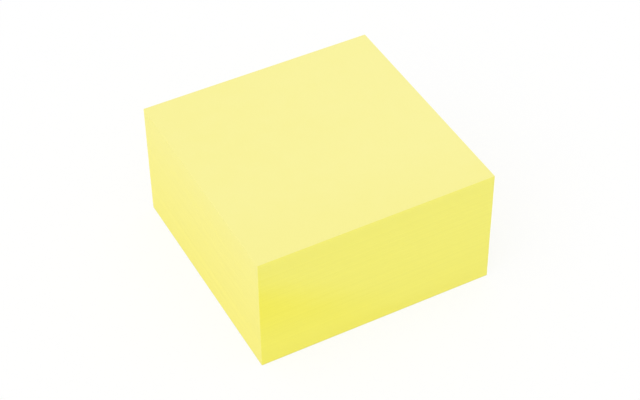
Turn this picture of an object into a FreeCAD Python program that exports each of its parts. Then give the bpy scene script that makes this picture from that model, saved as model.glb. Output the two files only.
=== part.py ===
import FreeCAD, Part
import os
import Sketcher

# Sticky note pad: a thick block of square notes on a release paper, lying flat.
# Millimetres. +Z is up and the origin is the centre of the base. Each note carries its gum
# under the edge at -X, so the free edges that a finger lifts are at +X.

# Driving dimensions: alias, value and what it measures
SIZES = [
    ("note_width", "76", "a note along X, from its gummed edge to its free edge"),
    ("note_depth", "76", "a note along Y, along its gummed edge"),
    ("note_thickness", "0.1", "one note with its share of gum and air"),
    ("note_count", "400", "notes in the block"),
    ("edge_bevel", "0.02", "how far each cut edge is taken off, above and below"),
    ("backing_thickness", "0.1", "the release paper under the lowest note"),
]


def make_sheet(doc):
    """Put the driving dimensions in a spreadsheet, one aliased cell each."""
    sheet = doc.addObject("Spreadsheet::Sheet", "Sizes")
    for row, (alias, value, meaning) in enumerate(SIZES, start=1):
        sheet.set(f"A{row}", alias)
        sheet.set(f"B{row}", value)
        sheet.set(f"C{row}", meaning)
        sheet.setAlias(f"B{row}", alias)
    return sheet


def origin_part(body, role):
    """The body's own origin plane or axis that has this role."""
    return next(part for part in body.Origin.OriginFeatures if part.Role == role)


def add_sheet_outline(body, name, height):
    """Sketch one note's outline, centred on Z, at the height that an expression gives."""
    sketch = body.newObject("Sketcher::SketchObject", name)
    sketch.AttachmentSupport = [(origin_part(body, "XY_Plane"), "")]
    sketch.MapMode = "FlatFace"
    sketch.setExpression("AttachmentOffset.Base.z", height)

    # Four sides, drawn roughly and then held by the constraints
    corners = [FreeCAD.Vector(x, y, 0) for x, y in ((-1, -1), (1, -1), (1, 1), (-1, 1))]
    for start, end in zip(corners, corners[1:] + corners[:1]):
        sketch.addGeometry(Part.LineSegment(start, end), False)
    front, right, back, left = range(4)
    start_point, end_point = 1, 2
    origin, origin_point = -1, 1
    for side, following in ((front, right), (right, back), (back, left), (left, front)):
        sketch.addConstraint(
            Sketcher.Constraint("Coincident", side, end_point, following, start_point))
    for side in (front, back):
        sketch.addConstraint(Sketcher.Constraint("Horizontal", side))
    for side in (right, left):
        sketch.addConstraint(Sketcher.Constraint("Vertical", side))
    sketch.addConstraint(Sketcher.Constraint(
        "Symmetric", front, start_point, right, end_point, origin, origin_point))

    # The two sizes, bound to the sheet
    for kind, side, constraint_name, cell in (
            ("DistanceX", front, "width", "note_width"),
            ("DistanceY", right, "depth", "note_depth")):
        index = sketch.addConstraint(
            Sketcher.Constraint(kind, side, start_point, side, end_point, 2.0))
        sketch.renameConstraint(index, constraint_name)
        sketch.setExpression(f"Constraints.{constraint_name}", f"Sizes.{cell}")
    return sketch


def make_note_stack(doc):
    """All the notes as one block: a single note with bevelled edges, repeated upwards.

    The bevels leave a fine groove between each note and the next, all round the block.
    """
    body = doc.addObject("PartDesign::Body", "NoteStack")
    body.Label = "note_stack"
    outline = add_sheet_outline(body, "NoteOutline", "Sizes.backing_thickness")

    note = body.newObject("PartDesign::Pad", "Note")
    note.Profile = outline
    note.setExpression("Length", "Sizes.note_thickness")
    doc.recompute()

    flat_faces = [
        f"Face{number}" for number, face in enumerate(note.Shape.Faces, start=1)
        if abs(face.normalAt(0, 0).z) > 0.5]
    bevels = body.newObject("PartDesign::Chamfer", "NoteEdges")
    bevels.Base = (note, flat_faces)
    bevels.setExpression("Size", "Sizes.edge_bevel")
    body.Tip = bevels
    doc.recompute()

    notes = body.newObject("PartDesign::LinearPattern", "Notes")
    notes.TransformMode = "Whole shape"
    notes.Direction = (origin_part(body, "Z_Axis"), [""])
    notes.setExpression("Occurrences", "Sizes.note_count")
    notes.setExpression("Length", "Sizes.note_thickness * (Sizes.note_count - 1)")
    # Neighbours share one whole face, which the union removes, so none is left to merge
    notes.Refine = False
    body.Tip = notes
    return body


def make_backing_sheet(doc):
    """The release paper that covers the lowest note's gum, cut with the notes."""
    body = doc.addObject("PartDesign::Body", "BackingSheet")
    body.Label = "backing_sheet"
    outline = add_sheet_outline(body, "BackingOutline", "0 mm")
    backing = body.newObject("PartDesign::Pad", "Backing")
    backing.Profile = outline
    backing.setExpression("Length", "Sizes.backing_thickness")
    body.Tip = backing
    return body


def check_document(doc, bodies):
    """Stop if any object failed, or a piece is not one valid solid."""
    for item in doc.Objects:
        if "Invalid" in item.State or "Error" in item.State:
            raise RuntimeError(f"{item.Name} failed: {item.State}")
    for body in bodies:
        shape = body.Shape
        if shape.isNull() or not shape.isValid() or len(shape.Solids) != 1:
            raise RuntimeError(f"{body.Label} is not one valid solid")


def main():
    doc = FreeCAD.newDocument("sticky_note_pad")
    make_sheet(doc)
    doc.recompute()
    bodies = [make_note_stack(doc), make_backing_sheet(doc)]
    doc.recompute()
    check_document(doc, bodies)
    os.makedirs("parts", exist_ok=True)
    for body in bodies:
        body.Shape.exportStep(f"parts/{body.Label}.step")
        box = body.Shape.BoundBox
        print(f"{body.Label}: {box.XLength:.3f} x {box.YLength:.3f} x {box.ZLength:.3f} mm,"
              f" z from {box.ZMin:.3f}, volume {body.Shape.Volume:.3f} mm3,"
              f" {len(body.Shape.Faces)} faces")


main()
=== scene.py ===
"""A sticky note pad on a plain white studio floor.

Metres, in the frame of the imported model: +Z is up, the origin is the centre of the pad's
base, and the gummed edge of the notes is at -X. The block shows the cut edge of each note.
"""
import math

import bpy
import numpy as np
from mathutils import Matrix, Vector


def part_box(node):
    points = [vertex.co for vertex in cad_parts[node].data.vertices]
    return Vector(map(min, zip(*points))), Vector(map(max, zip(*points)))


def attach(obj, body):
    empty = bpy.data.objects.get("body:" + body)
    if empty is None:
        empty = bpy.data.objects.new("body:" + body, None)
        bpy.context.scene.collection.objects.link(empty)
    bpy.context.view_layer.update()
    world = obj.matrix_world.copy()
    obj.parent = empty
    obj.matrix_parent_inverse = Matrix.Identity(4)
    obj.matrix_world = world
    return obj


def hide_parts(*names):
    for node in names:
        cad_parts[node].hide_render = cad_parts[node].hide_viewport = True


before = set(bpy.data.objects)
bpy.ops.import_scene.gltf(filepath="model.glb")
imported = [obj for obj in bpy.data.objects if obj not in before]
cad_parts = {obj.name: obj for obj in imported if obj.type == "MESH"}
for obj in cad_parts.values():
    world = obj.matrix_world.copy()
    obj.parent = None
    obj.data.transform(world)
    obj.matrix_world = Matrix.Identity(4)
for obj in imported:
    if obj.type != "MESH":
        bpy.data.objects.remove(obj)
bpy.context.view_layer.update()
MM = 0.001

# The notes and the release paper, as the frame holds them, how far a note's edge is taken
# off above and below, and how far the vertical corners are rounded
NOTES_LOW, NOTES_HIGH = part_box("note_stack")
BACKING_LOW, BACKING_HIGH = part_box("backing_sheet")
NOTE_THICKNESS = 0.1 * MM
NOTE_COUNT = round((NOTES_HIGH.z - NOTES_LOW.z) / NOTE_THICKNESS)
EDGE_BEVEL = 0.02 * MM
CORNER_RADIUS = 0.1 * MM

# How finely a sheet's outline is drawn, and in how many rings its flat face is filled.
# The steps round a corner are an even number, because a side starts in a corner's middle.
SIDE_STEPS = 17
CORNER_STEPS = 2
SIDE_POINTS = SIDE_STEPS + CORNER_STEPS
RING_POINTS = 4 * SIDE_POINTS
FACE_RINGS = 8

# How far the cut edges wander: slowly up the block, and from one note to the next
SLOW_SHIFT = 0.020 * MM
QUICK_SHIFT = 0.006 * MM
SLOW_WAVE = 0.007 * MM
QUICK_WAVE = 0.003 * MM
SLOW_MEMORY = 0.985
QUICK_MEMORY = 0.3
WAVES = 12
NOTES_SEED = 7
BACKING_SEED = 8

# Colours, linear: the top note where it is palest and deepest, and the cut edges high and low on
# the block, lighter high up by painted light. The cut along the gum is made paler by painted
# light, and the other three are deeper.
FACE_PALE = (0.960, 0.903, 0.351)
FACE_DEEP = (0.948, 0.888, 0.306)
PAINTED_LIGHT_EDGE_HIGH = (0.953, 0.896, 0.325)
PAINTED_LIGHT_EDGE_LOW = (0.947, 0.882, 0.254)
DEEP_EDGE_HIGH = (0.957, 0.915, 0.224)
DEEP_EDGE_LOW = (0.957, 0.910, 0.188)
PAINTED_SHADE_EDGE = (0.960, 0.903, 0.118)
RELEASE_PALE = (0.87, 0.86, 0.82)
RELEASE_DEEP = (0.82, 0.81, 0.76)
FLOOR_GREY = 0.9
WHITE = (1.0, 1.0, 1.0, 1.0)

# How much the edges differ in level: note from note, band from band, and fibre from fibre
NOTE_CONTRAST = 0.03
BAND_CONTRAST = 0.03
FIBRE_CONTRAST = 0.02

# The painted shade on the cut edges, a deeper patch beside the gum, in block widths: how far
# across the block it ends and where it is full, at the base, how much less far at the top, and how
# far it wavers
PAINTED_SHADE_END = 0.80
PAINTED_SHADE_FULL = 0.44
PAINTED_SHADE_SLOPE = 0.80
PAINTED_SHADE_WOBBLE = 0.14
# The painted shade is this strong at the base, and full from this far up the block
PAINTED_SHADE_AT_BASE = 0.31
PAINTED_SHADE_RISE = 0.7
# How much painted light pales the three deep cuts upwards and away from the gum
PAINTED_LIGHT_UPWARD = 0.5
PAINTED_LIGHT_ACROSS = 0.5
# How much painted light pales the cut along the gum from front to back, and the power by which
# it pales upwards
PAINTED_LIGHT_LEAN = 0.45
PAINTED_LIGHT_CURVE = 1.4
# The X of the surface's normal where the gum cut's painted-light colour ends and the others'
# begins
PAINTED_LIGHT_TURN = -0.6
DEEP_TURN = -0.3

# The top note's tone: what it starts from, what the place across it (painted shade), the clouds
# and the tooth each add, and what painted shade takes off at its front edge, over this share of
# its depth
FACE_START = -0.1
FACE_SHADE_ACROSS = 0.23
FACE_SHADE_FRONT = 0.25
FACE_CLOUDS = 0.3
FACE_TOOTH = 0.3
FRONT_SHADE_DEPTH = 0.35
# The tones between which the top note's colour turns from deep to pale, and the same for the
# clouds in the release paper
FACE_TONES = (0.2, 0.8)
RELEASE_TONES = (0.35, 0.65)

# The marks in the paper: how wide they are, how high where that differs, and how deep, and
# how strong the finer layers of their noise are
CLOUD_SIZE = 6.5 * MM
TOOTH_SIZE = 0.45 * MM
BAND_LENGTH = 80 * MM
BAND_HEIGHT = 1.1 * MM
FIBRE_LENGTH = 1.1 * MM
FIBRE_HEIGHT = 0.11 * MM
RELEASE_CLOUD_SIZE = 4.0 * MM
RELEASE_TOOTH_SIZE = 0.7 * MM
TOOTH_DEPTH = 0.02 * MM
FIBRE_DEPTH = 0.01 * MM
RELEASE_DEPTH = 0.006 * MM
NOISE_ROUGHNESS = 0.55

# The papers' finish: the notes are matt, and the release paper has a smooth coat
FACE_ROUGHNESS = 0.88
EDGE_ROUGHNESS = 0.9
NOTE_SPECULAR = 0.25
RELEASE_ROUGHNESS = 0.38
RELEASE_SPECULAR = 0.5
BUMP_STRENGTH = 0.5

# The camera, matched to the block's edges in the photograph
CAMERA_PLACE = (-0.17624, -0.33786, 0.36930)
CAMERA_AZIMUTH = -27.736
CAMERA_ELEVATION = 42.764
CAMERA_ROLL = -0.673
CAMERA_LENS = 96.88
CAMERA_SENSOR = 36.0

# The light: an even white surround and a soft lamp from the upper left
SURROUND_LEVEL = 0.83
LAMP_LEVEL = 0.216
LAMP_DIRECTION = (-0.547, -0.269, 0.793)
LAMP_SPREAD = 60.0
FLOOR_SIZE = 30.0
FLOOR_GLOW = 0.8


def wander(random, count, memory, size):
    """A run of values about zero, each one close to the last where memory is near 1."""
    values = np.empty(count)
    value = random.normal()
    for step in range(count):
        value = memory * value + math.sqrt(1 - memory ** 2) * random.normal()
        values[step] = value
    return size * values


def outline(half_x, half_y, radius):
    """Points round a rectangle with rounded corners, from the middle of the front left one."""
    quarter = math.pi / 2
    half_arc = CORNER_STEPS // 2
    arcs = []
    for corner, (side_x, side_y) in enumerate(((-1, -1), (1, -1), (1, 1), (-1, 1))):
        centre = np.array([side_x * (half_x - radius), side_y * (half_y - radius)])
        angles = math.pi + quarter * (corner + np.linspace(0, 1, CORNER_STEPS + 1))
        arcs.append(centre + radius * np.column_stack([np.cos(angles), np.sin(angles)]))
    stretches = []
    for arc, following in zip(arcs, arcs[1:] + arcs[:1]):
        straight = np.linspace(arc[-1], following[0], SIDE_STEPS + 1)
        stretches += [arc[half_arc:-1], straight, following[1:half_arc]]
    return np.concatenate(stretches)


def outward(ring):
    """The unit direction that points out of the outline at each of its points."""
    along = np.roll(ring, -1, axis=0) - np.roll(ring, 1, axis=0)
    normals = np.column_stack([along[:, 1], -along[:, 0]])
    return normals / np.linalg.norm(normals, axis=1, keepdims=True)


def sheet_drift(random, count):
    """How each sheet's edge stands off the straight cut: a shift, and waves round it."""
    shift = np.column_stack([
        wander(random, count, SLOW_MEMORY, SLOW_SHIFT)
        + wander(random, count, QUICK_MEMORY, QUICK_SHIFT)
        for _ in range(2)])
    turn = np.linspace(0, 2 * math.pi, RING_POINTS, endpoint=False)
    waves = np.zeros((count, RING_POINTS))
    for number in range(1, WAVES + 1):
        for shape in (np.cos(number * turn), np.sin(number * turn)):
            size = (wander(random, count, SLOW_MEMORY, SLOW_WAVE)
                    + wander(random, count, QUICK_MEMORY, QUICK_WAVE))
            waves += np.outer(size, shape) / number
    return shift, waves


def edge_rings(count, low, high, random):
    """The rings of points up the cut edges of a stack of sheets, as (rings, points, 3)."""
    half = (high - low) / 2
    pitch = (high.z - low.z) / count
    full = outline(half.x, half.y, CORNER_RADIUS)
    inner = outline(half.x - EDGE_BEVEL, half.y - EDGE_BEVEL, CORNER_RADIUS - EDGE_BEVEL)
    normals = outward(full)
    shift, waves = sheet_drift(random, count)

    rings = []
    for sheet in range(count + 1):
        # The groove under this sheet lies between its edge and the last one's
        beside = [max(sheet - 1, 0), min(sheet, count - 1)]
        base = low.z + sheet * pitch
        levels = [(base, inner, shift[beside].mean(axis=0), waves[beside].mean(axis=0))]
        if sheet < count:
            for height in (base + EDGE_BEVEL, base + pitch - EDGE_BEVEL):
                levels.append((height, full, shift[sheet], waves[sheet]))
        for height, ring, moved, waved in levels:
            flat = ring + moved + normals * waved[:, None]
            rings.append(np.column_stack([flat, np.full(RING_POINTS, height)]))
    rings = np.array(rings)

    # Fit the wandering edges into the stack's own box
    for axis in range(2):
        found_low, found_high = rings[..., axis].min(), rings[..., axis].max()
        scale = (high[axis] - low[axis]) / (found_high - found_low)
        rings[..., axis] = low[axis] + (rings[..., axis] - found_low) * scale
    return rings


def add_flat_face(rim, first_point, upward, vertices, faces):
    """Close the stack at a rim with ever smaller copies of its outline and a middle."""
    middle = rim.mean(axis=0)
    outer = [first_point + point for point in range(RING_POINTS)]
    for step in range(1, FACE_RINGS):
        inner = [len(vertices) + point for point in range(RING_POINTS)]
        vertices.extend(middle + (rim - middle) * (1 - step / FACE_RINGS))
        for point in range(RING_POINTS):
            after = (point + 1) % RING_POINTS
            face = (outer[point], outer[after], inner[after], inner[point])
            faces.append(face if upward else face[::-1])
        outer = inner
    centre = len(vertices)
    vertices.append(middle)
    for point in range(RING_POINTS):
        face = (outer[point], outer[(point + 1) % RING_POINTS], centre)
        faces.append(face if upward else face[::-1])


def add_uv(mesh, low, high, side_faces):
    """Lay each of the four sides in a strip on the right, and each flat face at the left."""
    margin = 0.01
    square, strip = 0.5, 0.25
    width = square - 2 * margin
    height = strip - 2 * margin

    loop_vertices = np.empty(len(mesh.loops), dtype=np.int64)
    mesh.loops.foreach_get("vertex_index", loop_vertices)
    places = np.empty(len(mesh.vertices) * 3)
    mesh.vertices.foreach_get("co", places)
    share = (places.reshape(-1, 3)[loop_vertices] - np.array(low)) / np.array(high - low)
    loop_faces = np.repeat(
        np.arange(len(mesh.polygons)), [face.loop_total for face in mesh.polygons])
    on_side = loop_faces < side_faces
    side = (loop_faces % RING_POINTS) // SIDE_POINTS
    faces_up = np.array([face.normal.z > 0 for face in mesh.polygons])[loop_faces]

    uv = np.empty((len(loop_vertices), 2))
    for number, (axis, backwards) in enumerate(((0, False), (1, False), (0, True), (1, True))):
        chosen = on_side & (side == number)
        along = 1 - share[chosen, axis] if backwards else share[chosen, axis]
        uv[chosen, 0] = square + margin + width * along
        uv[chosen, 1] = strip * number + margin + height * share[chosen, 2]
    for up, base in ((True, square), (False, 0.0)):
        chosen = ~on_side & (faces_up == up)
        uv[chosen, 0] = margin + width * share[chosen, 0]
        uv[chosen, 1] = base + margin + width * share[chosen, 1]
    layer = mesh.uv_layers.new(name="OFBake")
    layer.data.foreach_set("uv", uv.ravel())


def stack_mesh(name, count, low, high, seed):
    """A stack of sheets as one closed mesh, with material 0 on its flat faces and 1 on its cut."""
    rings = edge_rings(count, low, high, np.random.default_rng(seed))
    vertices = list(rings.reshape(-1, 3))
    top_ring = (len(rings) - 1) * RING_POINTS
    faces = []
    for start in range(0, top_ring, RING_POINTS):
        above = start + RING_POINTS
        for point in range(RING_POINTS):
            after = (point + 1) % RING_POINTS
            faces.append((start + point, start + after, above + after, above + point))
    side_faces = len(faces)
    add_flat_face(rings[-1], top_ring, True, vertices, faces)
    add_flat_face(rings[0], 0, False, vertices, faces)

    mesh = bpy.data.meshes.new(name)
    mesh.from_pydata([tuple(place) for place in vertices], [], faces)
    materials = np.zeros(len(faces), dtype=np.int32)
    materials[:side_faces] = 1
    mesh.polygons.foreach_set("material_index", materials)
    add_uv(mesh, low, high, side_faces)
    mesh.update()
    return mesh


def add_piece(name, mesh, materials):
    """Put a mesh in the scene with its materials."""
    piece = bpy.data.objects.new(name, mesh)
    bpy.context.scene.collection.objects.link(piece)
    for material in materials:
        mesh.materials.append(material)
    return piece


def feed(tree, socket, value):
    """Link an input to another node's output, or set it to a value."""
    if isinstance(value, bpy.types.NodeSocket):
        tree.links.new(value, socket)
    else:
        socket.default_value = value


def shader_node(tree, kind, inputs=None, **properties):
    """Add a node, set its properties, and set or link its inputs by name or number."""
    made = tree.nodes.new(kind)
    for name, value in properties.items():
        setattr(made, name, value)
    for key, value in (inputs or {}).items():
        feed(tree, made.inputs[key], value)
    return made


def maths(tree, operation, *values):
    """The result of one sum on numbers or sockets."""
    made = shader_node(tree, "ShaderNodeMath", dict(enumerate(values)), operation=operation)
    return made.outputs[0]


def vector_maths(tree, operation, first, second):
    """The result of one sum on two vectors."""
    made = shader_node(
        tree, "ShaderNodeVectorMath", {0: first, 1: second}, operation=operation)
    return made.outputs["Vector"]


def weighted_sum(tree, start, *terms):
    """A number with values added to it, each times its own weight."""
    total = start
    for value, weight in terms:
        total = maths(tree, "MULTIPLY_ADD", value, weight, total)
    return total


def blend_colour(tree, share, first, second):
    """A colour between first, where share is 0, and second, where it is 1."""
    made = shader_node(tree, "ShaderNodeMix", data_type="RGBA")
    sockets = {item.identifier: item for item in made.inputs}
    feed(tree, sockets["Factor_Float"], share)
    for name, colour in (("A_Color", first), ("B_Color", second)):
        feed(tree, sockets[name], (*colour, 1.0) if isinstance(colour, tuple) else colour)
    return next(item for item in made.outputs if item.identifier == "Result_Color")


def ramp(tree, value, low, high):
    """0 at low, 1 at high and smooth between them."""
    made = shader_node(
        tree, "ShaderNodeMapRange",
        {"Value": value, "From Min": low, "From Max": high},
        interpolation_type="SMOOTHSTEP")
    return made.outputs["Result"]


def marks(tree, place, length, height, detail):
    """Soft noise about 0.5, in marks of this length across the notes and this height."""
    stretched = vector_maths(tree, "DIVIDE", place, (length, length, height))
    made = shader_node(
        tree, "ShaderNodeTexNoise",
        {"Vector": stretched, "Scale": 1.0, "Detail": detail, "Roughness": NOISE_ROUGHNESS})
    return made.outputs["Fac"]


def new_material(name):
    """An empty node material, with its output node and the place of each point."""
    material = bpy.data.materials.new(name)
    material.use_nodes = True
    tree = material.node_tree
    tree.nodes.clear()
    output = shader_node(tree, "ShaderNodeOutputMaterial")
    place = shader_node(tree, "ShaderNodeTexCoord").outputs["Object"]
    return material, tree, output, place


def finish_paper(tree, output, colour, tooth, depth, roughness, specular):
    """Give the paper its colour and finish, and a tooth this deep from a height value."""
    bump = shader_node(
        tree, "ShaderNodeBump",
        {"Strength": BUMP_STRENGTH, "Distance": depth, "Height": tooth})
    surface = shader_node(
        tree, "ShaderNodeBsdfPrincipled",
        {"Base Color": colour, "Roughness": roughness, "Specular IOR Level": specular,
         "Normal": bump.outputs["Normal"]})
    tree.links.new(surface.outputs["BSDF"], output.inputs["Surface"])


def within_notes(tree, place):
    """How far across, along and up the notes a point lies, each from 0 to 1."""
    offset = vector_maths(tree, "SUBTRACT", place, NOTES_LOW)
    share = vector_maths(tree, "DIVIDE", offset, NOTES_HIGH - NOTES_LOW)
    axes = shader_node(tree, "ShaderNodeSeparateXYZ", {"Vector": share}).outputs
    return axes["X"], axes["Y"], axes["Z"]


def note_face_material():
    """The top note: uncoated paper, cloudy where the pulp lies thicker, with a fine tooth.

    It has painted shade, a little deeper towards the front gummed corner, as it is in the
    photograph.
    """
    material, tree, output, place = new_material("note_face")
    clouds = marks(tree, place, CLOUD_SIZE, CLOUD_SIZE, detail=3.0)
    tooth = marks(tree, place, TOOTH_SIZE, TOOTH_SIZE, detail=4.0)
    across, along, _ = within_notes(tree, place)
    # The place across the note and its front edge add painted shade; the clouds and tooth are the
    # paper's own
    tone = weighted_sum(
        tree, FACE_START, (across, FACE_SHADE_ACROSS), (ramp(tree, along, 0.0, FRONT_SHADE_DEPTH), FACE_SHADE_FRONT),
        (clouds, FACE_CLOUDS), (tooth, FACE_TOOTH))
    colour = blend_colour(tree, ramp(tree, tone, *FACE_TONES), FACE_DEEP, FACE_PALE)
    finish_paper(tree, output, colour, tooth, TOOTH_DEPTH, FACE_ROUGHNESS, NOTE_SPECULAR)
    return material


def painted_shade_patch(tree, across, upward, bands):
    """1 where painted shade makes the cut edges beside the gum deepest in colour, fading to 0."""
    reach = weighted_sum(
        tree, -PAINTED_SHADE_WOBBLE / 2, (across, 1.0), (upward, PAINTED_SHADE_SLOPE), (bands, PAINTED_SHADE_WOBBLE))
    fading = ramp(tree, reach, PAINTED_SHADE_END, PAINTED_SHADE_FULL)
    strength = weighted_sum(
        tree, PAINTED_SHADE_AT_BASE, (ramp(tree, upward, 0.0, PAINTED_SHADE_RISE), 1 - PAINTED_SHADE_AT_BASE))
    return maths(tree, "MULTIPLY", fading, strength)


def note_edge_material():
    """The notes' cut edges: a tone for each note, bands, short fibres, and painted light and
    shade.
    """
    material, tree, output, place = new_material("note_edge")
    across, along, upward = within_notes(tree, place)
    bands = marks(tree, place, BAND_LENGTH, BAND_HEIGHT, detail=3.0)
    fibres = marks(tree, place, FIBRE_LENGTH, FIBRE_HEIGHT, detail=2.0)
    number = maths(tree, "FLOOR", maths(tree, "MULTIPLY", upward, NOTE_COUNT))
    own_tone = shader_node(
        tree, "ShaderNodeTexWhiteNoise", {"W": number}, noise_dimensions="1D").outputs["Value"]

    # The cut along the gum is made paler by painted light, most of all at the top and the back
    rise = maths(tree, "POWER", upward, PAINTED_LIGHT_CURVE)
    painted_paleness = weighted_sum(tree, -PAINTED_LIGHT_LEAN / 2, (rise, 1.0), (along, PAINTED_LIGHT_LEAN))
    pale = blend_colour(tree, painted_paleness, PAINTED_LIGHT_EDGE_LOW, PAINTED_LIGHT_EDGE_HIGH)

    # The other three cuts are deeper, with painted light paling them at the top and away from the
    # gum
    painted_light_share = weighted_sum(tree, 0.0, (upward, PAINTED_LIGHT_UPWARD), (across, PAINTED_LIGHT_ACROSS))
    deep = blend_colour(tree, painted_light_share, DEEP_EDGE_LOW, DEEP_EDGE_HIGH)
    # A patch of painted shade beside the gum, deepest low down
    deepest = painted_shade_patch(tree, across, upward, bands)
    deep = blend_colour(tree, deepest, deep, PAINTED_SHADE_EDGE)

    # The painted-light colour and the deep one meet at the corners, where the surface turns from
    # facing -X
    facing = shader_node(tree, "ShaderNodeTexCoord").outputs["Normal"]
    turned = shader_node(tree, "ShaderNodeSeparateXYZ", {"Vector": facing}).outputs["X"]
    colour = blend_colour(tree, ramp(tree, turned, PAINTED_LIGHT_TURN, DEEP_TURN), pale, deep)

    contrast = NOTE_CONTRAST + BAND_CONTRAST + FIBRE_CONTRAST
    level = weighted_sum(
        tree, 1 - contrast / 2,
        (own_tone, NOTE_CONTRAST), (bands, BAND_CONTRAST), (fibres, FIBRE_CONTRAST))
    streaked = shader_node(
        tree, "ShaderNodeVectorMath", {"Vector": colour, "Scale": level}, operation="SCALE")
    finish_paper(
        tree, output, streaked.outputs["Vector"], fibres, FIBRE_DEPTH,
        EDGE_ROUGHNESS, NOTE_SPECULAR)
    return material


def release_paper_material():
    """Thin smooth paper with a silicone coat, so that the last note peels off it."""
    material, tree, output, place = new_material("release_paper")
    clouds = marks(tree, place, RELEASE_CLOUD_SIZE, RELEASE_CLOUD_SIZE, detail=4.0)
    tooth = marks(tree, place, RELEASE_TOOTH_SIZE, RELEASE_TOOTH_SIZE, detail=3.0)
    colour = blend_colour(tree, ramp(tree, clouds, *RELEASE_TONES), RELEASE_DEEP, RELEASE_PALE)
    finish_paper(
        tree, output, colour, tooth, RELEASE_DEPTH, RELEASE_ROUGHNESS, RELEASE_SPECULAR)
    return material


def seen_rays(tree):
    """1 for the rays that show a surface, straight to the camera or by way of gloss or glass."""
    path = shader_node(tree, "ShaderNodeLightPath").outputs
    seen = maths(tree, "MAXIMUM", path["Is Camera Ray"], path["Is Glossy Ray"])
    return maths(tree, "MAXIMUM", seen, path["Is Transmission Ray"])


def floor_material():
    """White floor: where it is seen it glows in part, so it reads white with a soft shadow."""
    material, tree, output, _ = new_material("studio_floor")
    seen = seen_rays(tree)
    plain = shader_node(
        tree, "ShaderNodeBsdfDiffuse", {"Color": (FLOOR_GREY, FLOOR_GREY, FLOOR_GREY, 1.0)})
    white = shader_node(tree, "ShaderNodeBsdfDiffuse", {"Color": WHITE})
    glow = shader_node(tree, "ShaderNodeEmission", {"Color": WHITE, "Strength": 1.0})
    shown = shader_node(
        tree, "ShaderNodeMixShader",
        {0: FLOOR_GLOW, 1: white.outputs["BSDF"], 2: glow.outputs["Emission"]})
    mixed = shader_node(
        tree, "ShaderNodeMixShader",
        {0: seen, 1: plain.outputs["BSDF"], 2: shown.outputs["Shader"]})
    tree.links.new(mixed.outputs["Shader"], output.inputs["Surface"])
    return material


def make_floor():
    """The plain floor that the pad lies on."""
    half = FLOOR_SIZE / 2
    mesh = bpy.data.meshes.new("floor")
    corners = [(-half, -half, 0), (half, -half, 0), (half, half, 0), (-half, half, 0)]
    mesh.from_pydata(corners, [], [(0, 1, 2, 3)])
    add_piece("floor", mesh, [floor_material()])


def make_surround():
    """Even white light from all round, which is seen as plain white."""
    world = bpy.data.worlds.new("studio")
    bpy.context.scene.world = world
    world.use_nodes = True
    tree = world.node_tree
    tree.nodes.clear()
    seen = seen_rays(tree)
    light = shader_node(
        tree, "ShaderNodeBackground", {"Color": WHITE, "Strength": SURROUND_LEVEL})
    white = shader_node(tree, "ShaderNodeBackground", {"Color": WHITE, "Strength": 1.0})
    mixed = shader_node(
        tree, "ShaderNodeMixShader",
        {0: seen, 1: light.outputs["Background"], 2: white.outputs["Background"]})
    output = shader_node(tree, "ShaderNodeOutputWorld")
    tree.links.new(mixed.outputs["Shader"], output.inputs["Surface"])


def make_lamp():
    """One large soft lamp, which lights the top and the gummed side most."""
    lamp = bpy.data.lights.new("lamp", "SUN")
    lamp.energy = math.pi * LAMP_LEVEL
    lamp.angle = math.radians(LAMP_SPREAD)
    holder = bpy.data.objects.new("lamp", lamp)
    x, y, z = LAMP_DIRECTION
    holder.rotation_euler = (0, math.atan2(math.hypot(x, y), z), math.atan2(y, x))
    bpy.context.scene.collection.objects.link(holder)


def make_camera():
    """The photograph's view of the pad."""
    camera = bpy.data.cameras.new("camera")
    camera.lens = CAMERA_LENS
    camera.sensor_width = CAMERA_SENSOR
    camera.clip_end = 2 * FLOOR_SIZE
    holder = bpy.data.objects.new("camera", camera)
    turn = (Matrix.Rotation(math.radians(CAMERA_AZIMUTH), 4, "Z")
            @ Matrix.Rotation(math.radians(90 - CAMERA_ELEVATION), 4, "X")
            @ Matrix.Rotation(math.radians(CAMERA_ROLL), 4, "Z"))
    holder.matrix_world = Matrix.Translation(CAMERA_PLACE) @ turn
    bpy.context.scene.collection.objects.link(holder)
    bpy.context.scene.camera = holder


def make_notes():
    """The block of notes, each with its own cut edge."""
    mesh = stack_mesh("notes", NOTE_COUNT, NOTES_LOW, NOTES_HIGH, NOTES_SEED)
    piece = add_piece("notes", mesh, [note_face_material(), note_edge_material()])
    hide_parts("note_stack")
    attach(piece, "root")


def make_backing():
    """The release paper under the notes, cut with them."""
    mesh = stack_mesh("backing", 1, BACKING_LOW, BACKING_HIGH, BACKING_SEED)
    paper = release_paper_material()
    piece = add_piece("backing", mesh, [paper, paper])
    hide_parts("backing_sheet")
    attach(piece, "root")


make_camera()
make_surround()
make_lamp()
make_floor()
make_notes()
make_backing()
bpy.context.scene.view_settings.view_transform = "Standard"
